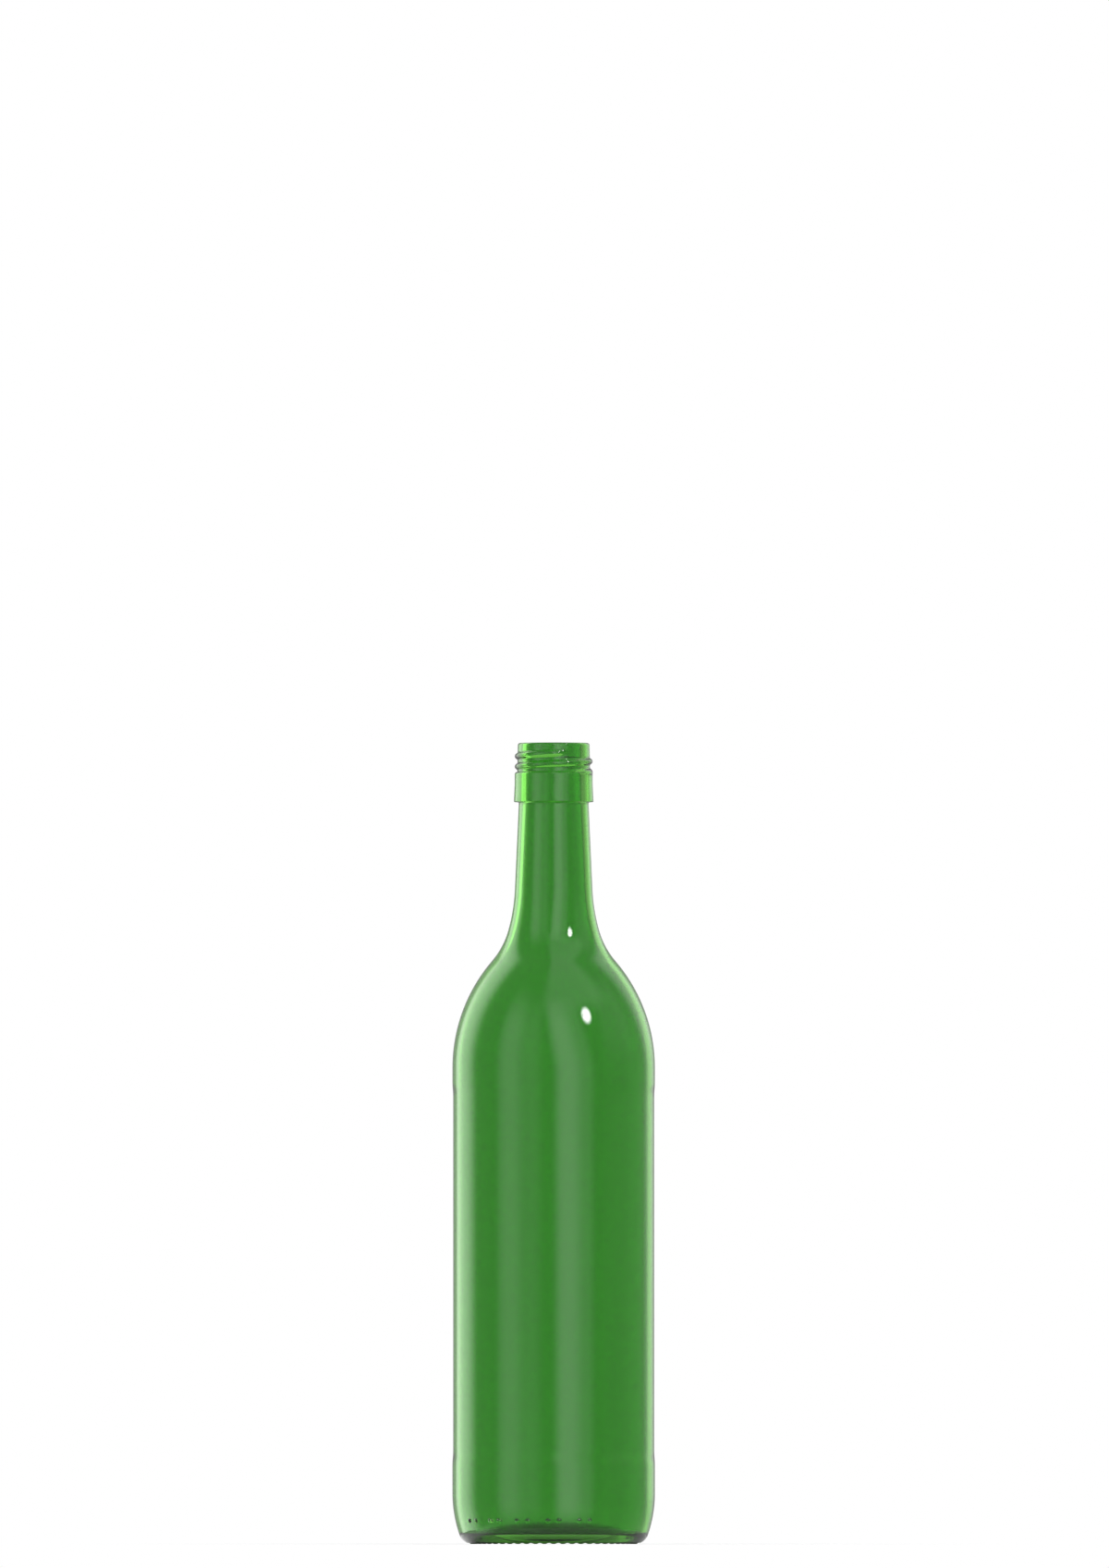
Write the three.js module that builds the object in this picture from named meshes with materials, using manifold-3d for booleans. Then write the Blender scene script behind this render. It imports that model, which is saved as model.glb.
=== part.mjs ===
// A wine bottle of the bordeaux shape: one piece of green glass with a screw-thread mouth.
// Millimetres. Z is the bottle's axis and points up, and the bearing bead stands on Z = 0.
// The front of the bottle faces -Y, and angles about Z are counted from there towards +X.
import * as THREE from "three";
import { mergeVertices } from "three/addons/utils/BufferGeometryUtils.js";
import Module from "manifold-3d";

const wasm = await Module();
wasm.setup();

const RIGHT_ANGLE = Math.PI / 2;
const degrees = THREE.MathUtils.degToRad;

// Overall sizes
const bottleHeight = 295;
const bodyDiameter = 74.6; // across the two contact bands
const shoulderDrop = 119.6; // from the rim down to where the shoulder meets the body

// Finish: sealing rim, thread and collar
const rimDiameter = 26.45; // also the root of the thread
const rimWall = 3.1;
const rimRound = 0.8;
const threadHeight = 1.13; // of the round bead over its root
const threadPitch = 3.8;
const threadDrop = 3.6; // from the rim down to the middle of the bead at its upper end
const threadStart = degrees(32); // where the upper end lies
const threadTurns = 2.05;
const threadRunOut = degrees(34); // over which each end sinks into the wall
const threadEndCover = 0.2; // glass over the sunk ends
const collarDrop = 10.7; // from the rim down to the top of the collar
const collarHeight = 11.1;
const collarStep = 1.13; // of the collar over the root of the thread
const collarFlare = 0.3; // of the collar's foot over its top
const collarStraight = 4.3; // from the collar's top down to where the flare starts
const collarRound = 0.8;
const collarFillet = 0.7; // between the collar's underside and the neck

// Neck and shoulder
const neckStep = 0.37; // of the neck under the root of the thread, on the radius
const neckWall = 2.5;
const neckTaper = degrees(2.63); // of the neck's side from the axis
const blendRadius = 67; // first curve below the tapered neck
const blendAngle = degrees(15.5); // slope at which the tighter fillet takes over
const filletRadius = 29.9;
const shoulderRadius = 60.4;
const shoulderWall = 2.4;

// Body
const bodyWall = 2.4; // behind the label panel
const panelDepth = 0.27; // of the label panel under the contact bands
const upperBand = 4.65; // straight height of the contact band under the shoulder
const lowerBand = 9.65; // straight height of the contact band over the heel
const bandStep = 6.6; // height in which a band runs into the panel

// Heel and base
const heelHeight = 18.7;
const heelRadius = 46.6;
const heelCorner = 5.1;
const innerHeelDrop = 2; // of the inner heel under the outer one
const innerHeelRadius = 38.5;
const innerHeelCorner = 1;
const ringWidth = 3.4; // plain ring between the push-up and the bearing bead
const ringRound = 1.5; // inner edge of the plain ring
const beadHeight = 0.42; // of the bearing bead under the plain ring
const beadFlat = 0.6; // of the bead's underside
const beadWidth = 1.9; // at its root
const pushUpHeight = 2.6;
const baseThickness = 4; // from the bearing bead up to the lowest ring of the floor inside
const floorRise = 4.6; // of the floor's middle over its lowest ring
const floorCrownRadius = 180;
const floorFlankRadius = 46;
const floorFillet = 10; // between the flank and the lowest ring
const floorLand = 0.7; // flat of the lowest ring, beside the inner heel's corner

// Knurls across the bearing bead, and mould pips in pairs round the heel
const knurlCount = 56;
const knurlDepth = 0.4;
const knurlWidth = 2.2;
const knurlOverrun = 0.3; // of each groove past the root of the bead
const pipRise = 8.5; // of the pips' middle over the base
const pipDiameter = 1.9;
const pipHeight = 0.62;
const pipPairs = 5;
const pipPairPitch = degrees(18.4);
const pipPitch = degrees(6.4); // between the two pips of a pair
const pipMiddle = degrees(-18.6); // middle of the row of pairs

// Fineness of the facets
const roundSegments = knurlCount; // one facet for each knurl
const chordError = 0.14; // of the steps along an arc of the profile
const weldDistance = 1e-4; // points nearer to each other than this are one point
const bandSteps = 3;
const beadSides = 8;
const beadStepsPerTurn = 32;
const grooveSides = 12;
const pipSegments = 8;
const pipRings = 4;

// Radii and heights that follow from the sizes above
const bodyRadius = bodyDiameter / 2;
const panelRadius = bodyRadius - panelDepth;
const innerRadius = panelRadius - bodyWall;
const shoulderHeight = bottleHeight - shoulderDrop;
const rimRadius = rimDiameter / 2;
const boreRadius = rimRadius - rimWall;
const neckRadius = rimRadius - neckStep;
const collarRadius = rimRadius + collarStep;
const collarTop = bottleHeight - collarDrop;
const collarFoot = collarTop - collarHeight;
const neckTop = collarFoot - collarFillet;

// An arc of the profile, whose points are taken in the plane of radius and height.
function sweep(path, arc, clockwise) {
  path.absarc(arc.centre.x, arc.centre.y, arc.radius, arc.from, arc.to, clockwise);
}

// The same arc, drawn from its other end.
function reversed(arc) {
  return { centre: arc.centre, radius: arc.radius, from: arc.to, to: arc.from };
}

// Tapered neck, blend, fillet and shoulder as tangent arcs, from the body up. The blend and the fillet
// curve outwards, so their centres lie outside the glass. They slide along the neck's side until the
// fillet touches the shoulder.
function shoulderArcs(neck, blend, fillet, shoulder, radius) {
  const along = new THREE.Vector2(Math.sin(neckTaper), -Math.cos(neckTaper));
  const toBlend = new THREE.Vector2(Math.cos(neckTaper), Math.sin(neckTaper)).multiplyScalar(blend);
  const toFillet = new THREE.Vector2(Math.cos(blendAngle), Math.sin(blendAngle));
  toFillet.multiplyScalar(fillet - blend).add(toBlend);
  const shoulderCentre = new THREE.Vector2(radius - shoulder, shoulderHeight);
  const apart = neck.clone().add(toFillet).sub(shoulderCentre);
  const half = apart.dot(along);
  const reach = fillet + shoulder;
  const slide = -half - Math.sqrt(half * half - apart.lengthSq() + reach * reach);
  const neckEnd = neck.clone().addScaledVector(along, slide);
  const filletCentre = neckEnd.clone().add(toFillet);
  const steepest = filletCentre.clone().sub(shoulderCentre).angle();
  return {
    shoulder: { centre: shoulderCentre, radius: shoulder, from: 0, to: steepest },
    fillet: {
      centre: filletCentre,
      radius: fillet,
      from: Math.PI + steepest,
      to: Math.PI + blendAngle,
    },
    blend: {
      centre: neckEnd.clone().add(toBlend),
      radius: blend,
      from: Math.PI + blendAngle,
      to: Math.PI + neckTaper,
    },
  };
}

// A large heel arc that starts upright at a height, and the corner arc that takes it down to a floor.
function heelArcs(radius, height, heel, corner, floor) {
  const heelCentre = new THREE.Vector2(radius - heel, height);
  const fall = height - floor - corner;
  const out = Math.sqrt((heel - corner) ** 2 - fall ** 2);
  const cornerCentre = new THREE.Vector2(heelCentre.x + out, floor + corner);
  const meet = -Math.atan2(fall, out);
  return {
    corner: { centre: cornerCentre, radius: corner, from: -RIGHT_ANGLE, to: meet },
    heel: { centre: heelCentre, radius: heel, from: meet, to: 0 },
  };
}

// A dome on the axis whose edge runs into a corner arc from inside.
function domeArc(apex, corner) {
  const fall = corner.centre.y - apex;
  const out = corner.centre.x;
  const radius = (out ** 2 + fall ** 2 - corner.radius ** 2) / (2 * (corner.radius - fall));
  const centre = new THREE.Vector2(0, apex - radius);
  const edge = Math.atan2(corner.centre.y - centre.y, out);
  return { centre, radius, from: RIGHT_ANGLE, to: edge };
}

// The floor inside, from the axis out: a flat crown, a rounder flank and the fillet to its lowest ring. The
// flank takes over from the crown where it then just touches the fillet.
function floorArcs(apex, lowest, ringRadius) {
  const crownCentre = new THREE.Vector2(0, apex - floorCrownRadius);
  const filletCentre = new THREE.Vector2(ringRadius, lowest + floorFillet);
  const apart = filletCentre.clone().sub(crownCentre);
  const inner = floorCrownRadius - floorFlankRadius;
  const reach = floorFlankRadius + floorFillet;
  const spread = Math.acos((apart.lengthSq() + inner ** 2 - reach ** 2) / (2 * inner * apart.length()));
  const crownEnd = apart.angle() + spread;
  const flankCentre = new THREE.Vector2(Math.cos(crownEnd), Math.sin(crownEnd));
  flankCentre.multiplyScalar(inner).add(crownCentre);
  const edge = filletCentre.clone().sub(flankCentre).angle();
  return {
    crown: { centre: crownCentre, radius: floorCrownRadius, from: RIGHT_ANGLE, to: crownEnd },
    flank: { centre: flankCentre, radius: floorFlankRadius, from: crownEnd, to: edge },
    fillet: { centre: filletCentre, radius: floorFillet, from: Math.PI + edge, to: 3 * RIGHT_ANGLE },
  };
}

// An upright line with a soft step between two radii.
function bandEdge(path, from, to, start) {
  const middle = start + bandStep / 2;
  path.lineTo(from, start);
  path.bezierCurveTo(from, middle, to, middle, to, start + bandStep);
}

const outerHeel = heelArcs(bodyRadius, heelHeight, heelRadius, heelCorner, 0);
const innerHeel = heelArcs(
  innerRadius,
  heelHeight - innerHeelDrop,
  innerHeelRadius,
  innerHeelCorner,
  baseThickness,
);
const outerShoulder = shoulderArcs(
  new THREE.Vector2(neckRadius, neckTop),
  blendRadius,
  filletRadius,
  shoulderRadius,
  bodyRadius,
);
const innerShoulder = shoulderArcs(
  new THREE.Vector2(neckRadius - neckWall, neckTop),
  blendRadius + neckWall,
  filletRadius + shoulderWall,
  shoulderRadius - shoulderWall,
  innerRadius,
);
const ringOuterRadius = outerHeel.corner.centre.x;
const ringInnerRadius = ringOuterRadius - ringWidth;
const beadRadius = ringOuterRadius + beadFlat / 2;

// The glass in section, from the middle of the push-up out, up the outside, and down the inside.
function glassOutline() {
  const path = new THREE.Path();
  const ringEdge = { centre: new THREE.Vector2(ringInnerRadius, beadHeight + ringRound), radius: ringRound };
  const pushUp = domeArc(pushUpHeight, ringEdge);
  ringEdge.from = pushUp.to + Math.PI;
  ringEdge.to = 3 * RIGHT_ANGLE;
  path.moveTo(0, pushUpHeight);
  sweep(path, pushUp, true);
  sweep(path, ringEdge, false);
  path.lineTo(beadRadius - beadWidth / 2, beadHeight);
  path.lineTo(beadRadius - beadFlat / 2, 0);
  path.lineTo(beadRadius + beadFlat / 2, 0);
  path.lineTo(beadRadius + beadWidth / 2, beadHeight);
  const cornerStart = Math.asin((beadHeight - heelCorner) / heelCorner);
  sweep(path, { ...outerHeel.corner, from: cornerStart }, false);
  sweep(path, outerHeel.heel, false);

  bandEdge(path, bodyRadius, panelRadius, heelHeight + lowerBand);
  bandEdge(path, panelRadius, bodyRadius, shoulderHeight - upperBand - bandStep);
  sweep(path, outerShoulder.shoulder, false);
  sweep(path, outerShoulder.fillet, true);
  sweep(path, outerShoulder.blend, true);
  path.lineTo(neckRadius, neckTop);

  path.absarc(neckRadius + collarFillet, neckTop, collarFillet, Math.PI, RIGHT_ANGLE, true);
  path.lineTo(collarRadius + collarFlare, collarFoot);
  path.lineTo(collarRadius, collarTop - collarStraight);
  path.absarc(collarRadius - collarRound, collarTop - collarRound, collarRound, 0, RIGHT_ANGLE, false);
  path.lineTo(rimRadius, collarTop);
  path.absarc(rimRadius - rimRound, bottleHeight - rimRound, rimRound, 0, RIGHT_ANGLE, false);
  path.absarc(boreRadius + rimRound, bottleHeight - rimRound, rimRound, RIGHT_ANGLE, Math.PI, false);

  path.lineTo(neckRadius - neckWall, neckTop);
  sweep(path, reversed(innerShoulder.blend), false);
  sweep(path, reversed(innerShoulder.fillet), false);
  sweep(path, reversed(innerShoulder.shoulder), true);
  sweep(path, reversed(innerHeel.heel), true);
  sweep(path, reversed(innerHeel.corner), true);
  const lowestRing = innerHeel.corner.centre.x - floorLand;
  const floor = floorArcs(baseThickness + floorRise, baseThickness, lowestRing);
  sweep(path, reversed(floor.fillet), true);
  sweep(path, reversed(floor.flank), false);
  sweep(path, reversed(floor.crown), false);
  return path;
}

// Points along a path: the ends of its lines, even steps on its arcs and band edges.
function outlinePoints(path) {
  const points = [];
  for (const curve of path.curves) {
    let steps = 1;
    if (curve.isEllipseCurve) {
      const stepAngle = Math.sqrt((8 * chordError) / curve.xRadius);
      steps = Math.ceil(curve.getLength() / curve.xRadius / stepAngle);
    } else if (curve.isCubicBezierCurve) {
      steps = bandSteps;
    }
    points.push(...curve.getPoints(steps));
  }
  return points.filter((point, i) => i === 0 || point.distanceTo(points[i - 1]) > weldDistance);
}

function solidFrom(geometry) {
  geometry.deleteAttribute("normal");
  geometry.deleteAttribute("uv");
  const merged = mergeVertices(geometry, weldDistance);
  return new wasm.Manifold(
    new wasm.Mesh({
      numProp: 3,
      vertProperties: merged.getAttribute("position").array,
      triVerts: new Uint32Array(merged.index.array),
    }),
  );
}

function geometryFrom(solid) {
  const mesh = solid.getMesh();
  const geometry = new THREE.BufferGeometry();
  geometry.setAttribute("position", new THREE.BufferAttribute(mesh.vertProperties, 3));
  geometry.setIndex(new THREE.BufferAttribute(mesh.triVerts, 1));
  geometry.computeVertexNormals();
  return geometry;
}

function turnedGlass() {
  const lathe = new THREE.LatheGeometry(outlinePoints(glassOutline()), roundSegments);
  lathe.rotateX(RIGHT_ANGLE);
  return solidFrom(lathe);
}

// The middle line of the thread's bead: a right-hand helix that sinks into the wall at both ends.
class ThreadLine extends THREE.Curve {
  getPoint(t, target = new THREE.Vector3()) {
    const whole = threadTurns * 2 * Math.PI;
    const turned = t * whole;
    const fromEnd = Math.min(turned, whole - turned);
    const sunk = 1 - THREE.MathUtils.smoothstep(fromEnd, 0, threadRunOut);
    const radius = rimRadius - sunk * (threadHeight + threadEndCover);
    const angle = threadStart - turned;
    const height = bottleHeight - threadDrop - (turned / (2 * Math.PI)) * threadPitch;
    return target.set(radius * Math.sin(angle), -radius * Math.cos(angle), height);
  }
}

function threadBead() {
  const section = new THREE.Shape();
  section.absarc(0, 0, threadHeight, 0, 2 * Math.PI, false);
  const bead = new THREE.ExtrudeGeometry(section, {
    extrudePath: new ThreadLine(),
    steps: Math.round(threadTurns * beadStepsPerTurn),
    curveSegments: beadSides / 2,
  });
  return solidFrom(bead);
}

// One groove across the bearing bead at an angle: the top of a round bar that lies along the radius.
function knurlGroove(angle) {
  const barRadius = ((knurlWidth / 2) ** 2 + knurlDepth ** 2) / (2 * knurlDepth);
  const length = beadWidth + 2 * knurlOverrun;
  const bar = new THREE.CylinderGeometry(barRadius, barRadius, length, grooveSides);
  bar.translate(0, -beadRadius, knurlDepth - barRadius);
  bar.rotateZ(angle);
  return solidFrom(bar);
}

// One raised pip on the heel at an angle: the cap of a ball set into the glass.
function heelPip(angle) {
  const ballRadius = ((pipDiameter / 2) ** 2 + pipHeight ** 2) / (2 * pipHeight);
  const { centre, radius } = outerHeel.heel;
  const slope = Math.asin((pipRise - centre.y) / radius);
  const out = radius + pipHeight - ballRadius;
  const ball = new THREE.SphereGeometry(ballRadius, pipSegments, pipRings);
  ball.translate(0, -(centre.x + out * Math.cos(slope)), centre.y + out * Math.sin(slope));
  ball.rotateZ(angle);
  return solidFrom(ball);
}

function bottleSolid() {
  let glass = turnedGlass().add(threadBead());
  for (let i = 0; i < knurlCount; i++) {
    glass = glass.subtract(knurlGroove(((i + 0.5) / knurlCount) * 2 * Math.PI));
  }
  for (let pair = 0; pair < pipPairs; pair++) {
    const middle = pipMiddle + (pair - (pipPairs - 1) / 2) * pipPairPitch;
    glass = glass.add(heelPip(middle - pipPitch / 2)).add(heelPip(middle + pipPitch / 2));
  }
  return glass;
}

const greenGlass = new THREE.MeshStandardMaterial({
  color: 0x377e30,
  roughness: 0.04,
  metalness: 0,
  transparent: true,
  opacity: 0.6,
});

const bottle = new THREE.Group();
const glassBottle = new THREE.Mesh(geometryFrom(bottleSolid()), greenGlass);
glassBottle.name = "glass_bottle";
bottle.add(glassBottle);

export default bottle;
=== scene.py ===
"""Looks of a green glass wine bottle on a white stage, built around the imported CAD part."""

import math
from functools import partial

import bpy
import numpy as np
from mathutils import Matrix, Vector


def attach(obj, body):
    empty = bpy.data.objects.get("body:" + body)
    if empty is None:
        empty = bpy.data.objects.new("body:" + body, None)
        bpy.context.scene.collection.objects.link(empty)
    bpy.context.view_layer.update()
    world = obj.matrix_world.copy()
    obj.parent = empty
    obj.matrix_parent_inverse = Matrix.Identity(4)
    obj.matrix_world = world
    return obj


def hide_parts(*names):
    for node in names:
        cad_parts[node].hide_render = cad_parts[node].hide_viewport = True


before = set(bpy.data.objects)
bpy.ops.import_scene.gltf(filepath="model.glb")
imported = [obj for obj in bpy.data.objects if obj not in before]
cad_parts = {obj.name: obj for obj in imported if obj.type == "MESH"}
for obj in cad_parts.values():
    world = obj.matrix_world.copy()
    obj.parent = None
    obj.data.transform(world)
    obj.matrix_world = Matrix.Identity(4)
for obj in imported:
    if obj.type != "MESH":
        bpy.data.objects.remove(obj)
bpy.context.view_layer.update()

MM = 0.001
TURN = 2 * math.pi
RIGHT_ANGLE = math.pi / 2

# Sizes of the bottle in millimetres, as in the CAD part
BOTTLE_HEIGHT = 295.0
BODY_RADIUS = 37.3
SHOULDER_DROP = 119.6

RIM_RADIUS = 13.225
RIM_WALL = 3.1
RIM_ROUND = 0.8
THREAD_HEIGHT = 1.13
THREAD_PITCH = 3.8
THREAD_DROP = 3.6
THREAD_START = math.radians(32)
THREAD_TURNS = 2.05
THREAD_RUN_OUT = math.radians(34)
COLLAR_DROP = 10.7
COLLAR_HEIGHT = 11.1
COLLAR_STEP = 1.13
COLLAR_FLARE = 0.3
COLLAR_STRAIGHT = 4.3
COLLAR_ROUND = 0.8
COLLAR_FILLET = 0.7

NECK_STEP = 0.37
NECK_WALL = 2.5
NECK_TAPER = math.radians(2.63)
BLEND_RADIUS = 67.0
BLEND_ANGLE = math.radians(15.5)
FILLET_RADIUS = 29.9
SHOULDER_RADIUS = 60.4
SHOULDER_WALL = 2.4

BODY_WALL = 2.4
PANEL_DEPTH = 0.27
UPPER_BAND = 4.65
LOWER_BAND = 9.65
BAND_STEP = 6.6

HEEL_HEIGHT = 18.7
HEEL_RADIUS = 46.6
HEEL_CORNER = 5.1
INNER_HEEL_DROP = 2.0
INNER_HEEL_RADIUS = 38.5
INNER_HEEL_CORNER = 1.0
RING_WIDTH = 3.4
RING_ROUND = 1.5
BEAD_HEIGHT = 0.42
BEAD_FLAT = 0.6
BEAD_WIDTH = 1.9
PUSH_UP_HEIGHT = 2.6
BASE_THICKNESS = 4.0
FLOOR_RISE = 4.6
FLOOR_CROWN_RADIUS = 180.0
FLOOR_FLANK_RADIUS = 46.0
FLOOR_FILLET = 10.0
FLOOR_LAND = 0.7

KNURL_COUNT = 56
KNURL_DEPTH = 0.4
KNURL_WIDTH = 2.2
PIP_RISE = 8.5
PIP_RADIUS = 0.95
PIP_HEIGHT = 0.62
PIP_PAIRS = 5
PIP_PAIR_PITCH = math.radians(18.4)
PIP_PITCH = math.radians(6.4)
PIP_MIDDLE = math.radians(-18.6)

# Small rounds that fire polishing leaves on the edges
COLLAR_EDGE_ROUND = 0.35
COLLAR_TOP_SLOPE = math.radians(10)
THREAD_ROOT_ROUND = 0.5
KNURL_ROUND = 0.15
PIP_ROUND = 0.15

# Radii and heights that follow
PANEL_RADIUS = BODY_RADIUS - PANEL_DEPTH
INNER_RADIUS = PANEL_RADIUS - BODY_WALL
SHOULDER_HEIGHT = BOTTLE_HEIGHT - SHOULDER_DROP
BORE_RADIUS = RIM_RADIUS - RIM_WALL
NECK_RADIUS = RIM_RADIUS - NECK_STEP
COLLAR_RADIUS = RIM_RADIUS + COLLAR_STEP
COLLAR_TOP = BOTTLE_HEIGHT - COLLAR_DROP
COLLAR_FOOT = COLLAR_TOP - COLLAR_HEIGHT
NECK_TOP = COLLAR_FOOT - COLLAR_FILLET

# Columns of the mesh round the axis
COLUMNS = 4 * KNURL_COUNT
RING_COLUMNS = 2 * COLUMNS
FLOOR_COLUMNS = COLUMNS // 2
POLE_COLUMNS = COLUMNS // 4

# Reaches of the finer rows and columns
EASE = 0.3  # short row at each end of a straight line
RING_REACH = 2.6  # of the finer rows inside the plain ring
BEAD_REACH = 1.35  # of the finest rows outside it
KNURL_REACH = 2.3  # of the fine columns outside it
PUSH_UP_POLE = 8.0  # radius in which the push-up has the fewest columns
FLOOR_POLE = 7.0  # radius in which the floor has the fewest columns

# Gaps between rows, from the middle of the push-up, up the outside and down the inside to the floor
DOME_GAP = 2.0
DOME_EDGE_GAP = 0.8
RING_EDGE_GAP = 0.16
RING_GAP = 0.7
BEAD_GAP = 0.13
KNURL_GAP = 0.3
CORNER_GAP = 0.5
LOW_HEEL_GAP = 0.8
HIGH_HEEL_GAP = 1.2
BAND_GAP = 3.0
BAND_STEP_ROWS = 12
PANEL_GAP = 7.0
SHOULDER_GAPS = (1.9, 1.2, 1.6)
NECK_GAP = 4.0
COLLAR_FILLET_GAP = 0.14
COLLAR_FOOT_GAP = 0.25
COLLAR_EDGE_GAP = 0.1
COLLAR_SIDE_GAP = 1.3
COLLAR_TOP_GAP = 0.1
COLLAR_ROOT_GAP = 0.08
FINISH_GAP = 0.17
RIM_ROUND_GAP = 0.16
RIM_GAP = 0.3
BORE_GAP = 2.5
INNER_SHOULDER_GAPS = (1.6, 1.4, 2.2)
INNER_BODY_GAP = 7.0
INNER_HEEL_GAP = 1.1
INNER_CORNER_GAP = 0.17
FLOOR_EDGE_GAP = 0.5
FLOOR_FLANK_GAP = 1.1
FLOOR_CROWN_GAP = 1.5
FLOOR_POLE_GAP = 2.0

# Mesh of the pips, each in a block cut out of the heel
PIP_BLOCK_ROWS = 5
PIP_BLOCK_COLUMNS = 3
PIP_ROW = 0.55
PIP_ROW_SLACK = 1.001  # keeps rounding from adding a row
PIP_RINGS = (1.22, 1.1, 1.0, 0.91, 0.79, 0.64, 0.46, 0.23)

# Search for the thread's surface
THREAD_HALVINGS = 32
FAR_AWAY = 1000.0


def polar(angle):
    return np.array([math.cos(angle), math.sin(angle)])


def shoulder_arcs(neck, blend, fillet, shoulder, radius):
    """Shoulder, fillet and blend as tangent arcs between the body's side and the tapered neck."""
    along = np.array([math.sin(NECK_TAPER), -math.cos(NECK_TAPER)])
    to_blend = polar(NECK_TAPER) * blend
    to_fillet = polar(BLEND_ANGLE) * (fillet - blend) + to_blend
    shoulder_centre = np.array([radius - shoulder, SHOULDER_HEIGHT])
    apart = neck + to_fillet - shoulder_centre
    half = apart @ along
    slide = -half - math.sqrt(half**2 - apart @ apart + (fillet + shoulder) ** 2)
    neck_end = neck + along * slide
    fillet_centre = neck_end + to_fillet
    steepest = math.atan2(*(fillet_centre - shoulder_centre)[::-1])
    return (
        (shoulder_centre, shoulder, 0, steepest),
        (fillet_centre, fillet, math.pi + steepest, math.pi + BLEND_ANGLE),
        (neck_end + to_blend, blend, math.pi + BLEND_ANGLE, math.pi + NECK_TAPER),
    )


def heel_arcs(radius, height, heel, corner, floor):
    """The corner over a floor and the large heel arc that ends upright, from the floor up."""
    fall = height - floor - corner
    out = math.sqrt((heel - corner) ** 2 - fall**2)
    meet = -math.atan2(fall, out)
    heel_centre = np.array([radius - heel, height])
    corner_centre = np.array([radius - heel + out, floor + corner])
    return (corner_centre, corner, -RIGHT_ANGLE, meet), (heel_centre, heel, meet, 0)


def dome_arc(apex, corner_centre, corner_radius):
    """A dome on the axis that runs into a corner arc, from the axis out."""
    fall = corner_centre[1] - apex
    out = corner_centre[0]
    radius = (out**2 + fall**2 - corner_radius**2) / (2 * (corner_radius - fall))
    centre = np.array([0, apex - radius])
    return centre, radius, RIGHT_ANGLE, math.atan2(corner_centre[1] - centre[1], out)


def floor_arcs(apex, lowest, ring_radius):
    """The floor inside: a flat crown, a rounder flank and the fillet down to its lowest ring. The flank takes
    over from the crown where it then just touches the fillet."""
    crown_centre = np.array([0, apex - FLOOR_CROWN_RADIUS])
    fillet_centre = np.array([ring_radius, lowest + FLOOR_FILLET])
    apart = fillet_centre - crown_centre
    inner = FLOOR_CROWN_RADIUS - FLOOR_FLANK_RADIUS
    reach = FLOOR_FLANK_RADIUS + FLOOR_FILLET
    spread = math.acos((apart @ apart + inner**2 - reach**2) / (2 * inner * np.hypot(*apart)))
    crown_end = math.atan2(apart[1], apart[0]) + spread
    flank_centre = crown_centre + polar(crown_end) * inner
    edge = math.atan2(*(fillet_centre - flank_centre)[::-1])
    return (
        (crown_centre, FLOOR_CROWN_RADIUS, RIGHT_ANGLE, crown_end),
        (flank_centre, FLOOR_FLANK_RADIUS, crown_end, edge),
        (fillet_centre, FLOOR_FILLET, math.pi + edge, 3 * RIGHT_ANGLE),
    )


def split(arc, *angles):
    """The same arc in pieces that end at these angles."""
    centre, radius, start, end = arc
    stops = [start, *angles, end]
    return [(centre, radius, a, b) for a, b in zip(stops, stops[1:])]


class Section:
    """Points of the glass in section, each with the number of columns that its ring has."""

    def __init__(self, start, columns):
        self.points = [np.array(start, float)]
        self.columns = [columns]

    def add(self, points, columns):
        self.points.extend(points)
        self.columns.extend([columns] * len(points))

    def line(self, end, gap, columns=COLUMNS, ease=0.0):
        """Even rows, and with an ease also one short row at each end, which keeps the smooth shading of the
        curves beside the line off it."""
        start, end = self.points[-1], np.array(end, float)
        length = np.linalg.norm(end - start)
        count = max(1, math.ceil((length - 2 * ease) / gap))
        shares = list(ease / length + (1 - 2 * ease / length) * np.arange(count + 1) / count)
        if ease:
            shares.append(1.0)
        else:
            shares = shares[1:]
        self.add([start + (end - start) * share for share in shares], columns)

    def arc(self, arc, gap, columns=COLUMNS, back=False):
        centre, radius, start, end = arc
        if back:
            start, end = end, start
        count = max(1, math.ceil(abs(end - start) * radius / gap))
        angles = start + (end - start) * (np.arange(count) + 1) / count
        self.add([centre + radius * polar(a) for a in angles], columns)

    def soft_step(self, radius, height, rows, columns=COLUMNS):
        """An upright S-curve to another radius."""
        start = self.points[-1]
        for i in range(rows):
            t = (i + 1) / rows
            level = 3 * t * (1 - t) * (height / 2) + t**3 * height
            share = t * t * (3 - 2 * t)
            point = (start[0] + share * (radius - start[0]), start[1] + level)
            self.add([np.array(point)], columns)


outer_corner, outer_heel = heel_arcs(BODY_RADIUS, HEEL_HEIGHT, HEEL_RADIUS, HEEL_CORNER, 0)
inner_corner, inner_heel = heel_arcs(
    INNER_RADIUS,
    HEEL_HEIGHT - INNER_HEEL_DROP,
    INNER_HEEL_RADIUS,
    INNER_HEEL_CORNER,
    BASE_THICKNESS,
)
outer_shoulder = shoulder_arcs(
    np.array([NECK_RADIUS, NECK_TOP]), BLEND_RADIUS, FILLET_RADIUS, SHOULDER_RADIUS, BODY_RADIUS
)
inner_shoulder = shoulder_arcs(
    np.array([NECK_RADIUS - NECK_WALL, NECK_TOP]),
    BLEND_RADIUS + NECK_WALL,
    FILLET_RADIUS + SHOULDER_WALL,
    SHOULDER_RADIUS - SHOULDER_WALL,
    INNER_RADIUS,
)
ring_outer = outer_corner[0][0]
ring_inner = ring_outer - RING_WIDTH
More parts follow.
